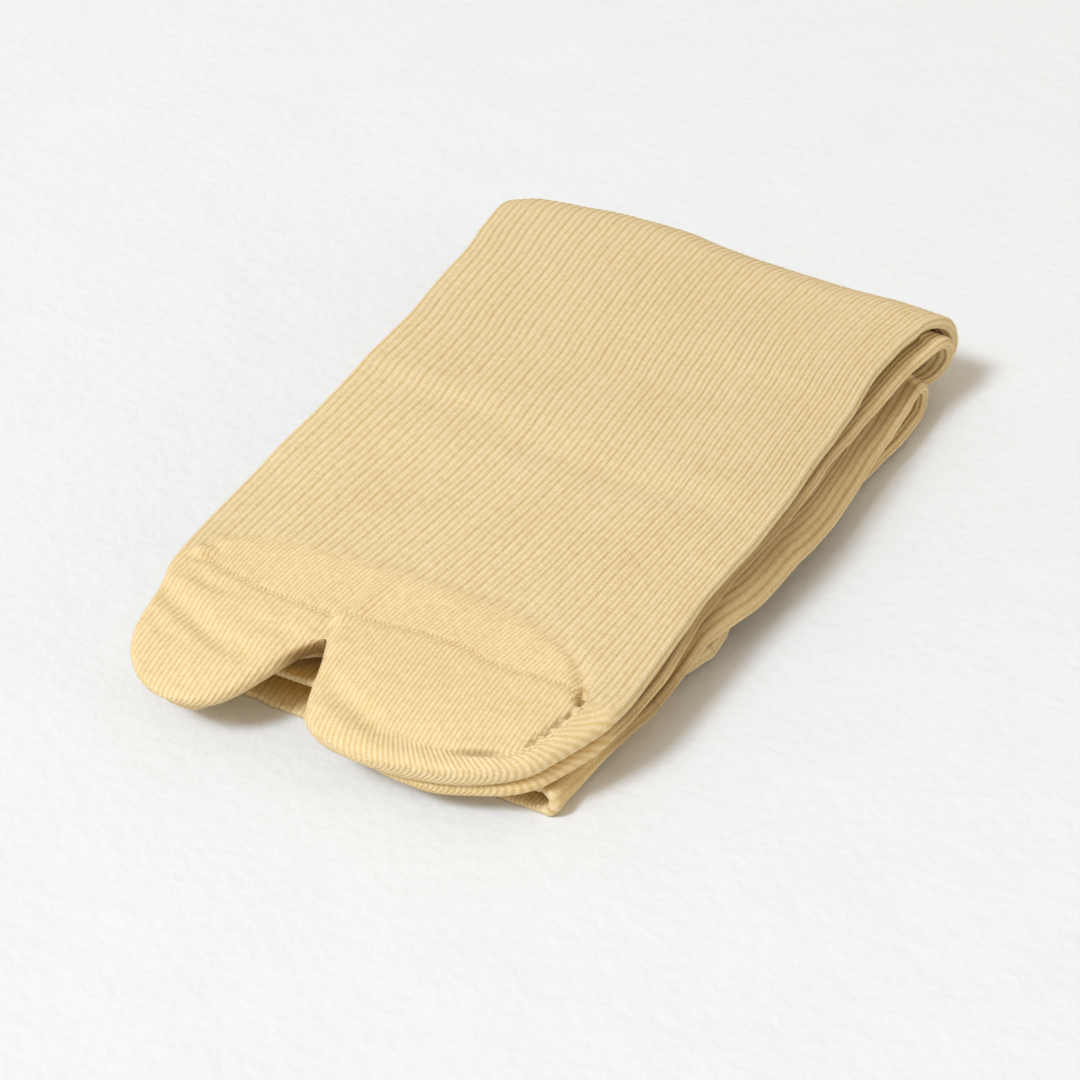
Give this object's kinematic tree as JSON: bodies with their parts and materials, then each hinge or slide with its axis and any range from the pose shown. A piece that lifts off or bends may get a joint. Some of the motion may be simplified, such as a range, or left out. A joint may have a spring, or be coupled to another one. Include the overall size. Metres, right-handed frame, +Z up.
{
  "type": "pair of tabi socks",
  "caption": "Pair of ribbed cotton tabi socks with split toes, laid one on the other and folded together flat, cuffs under the toes.",
  "frame": {"origin": "centre of the folded pair's footprint, on the surface it lies on", "axes": "+Y from the toes to the folded end, +X across the feet towards the little toe of the upper sock, +Z up"},
  "size_m": [0.0912, 0.1496, 0.0201],
  "materials": {
    "sock_upper": "pale straw-yellow cotton rib knit, matte with a short nap",
    "sock_lower": "pale straw-yellow cotton rib knit, matte with a short nap"
  },
  "bodies": {
    "root": {"sock_upper": "sock_upper", "sock_lower": "sock_lower"}
  },
  "joints": []
}
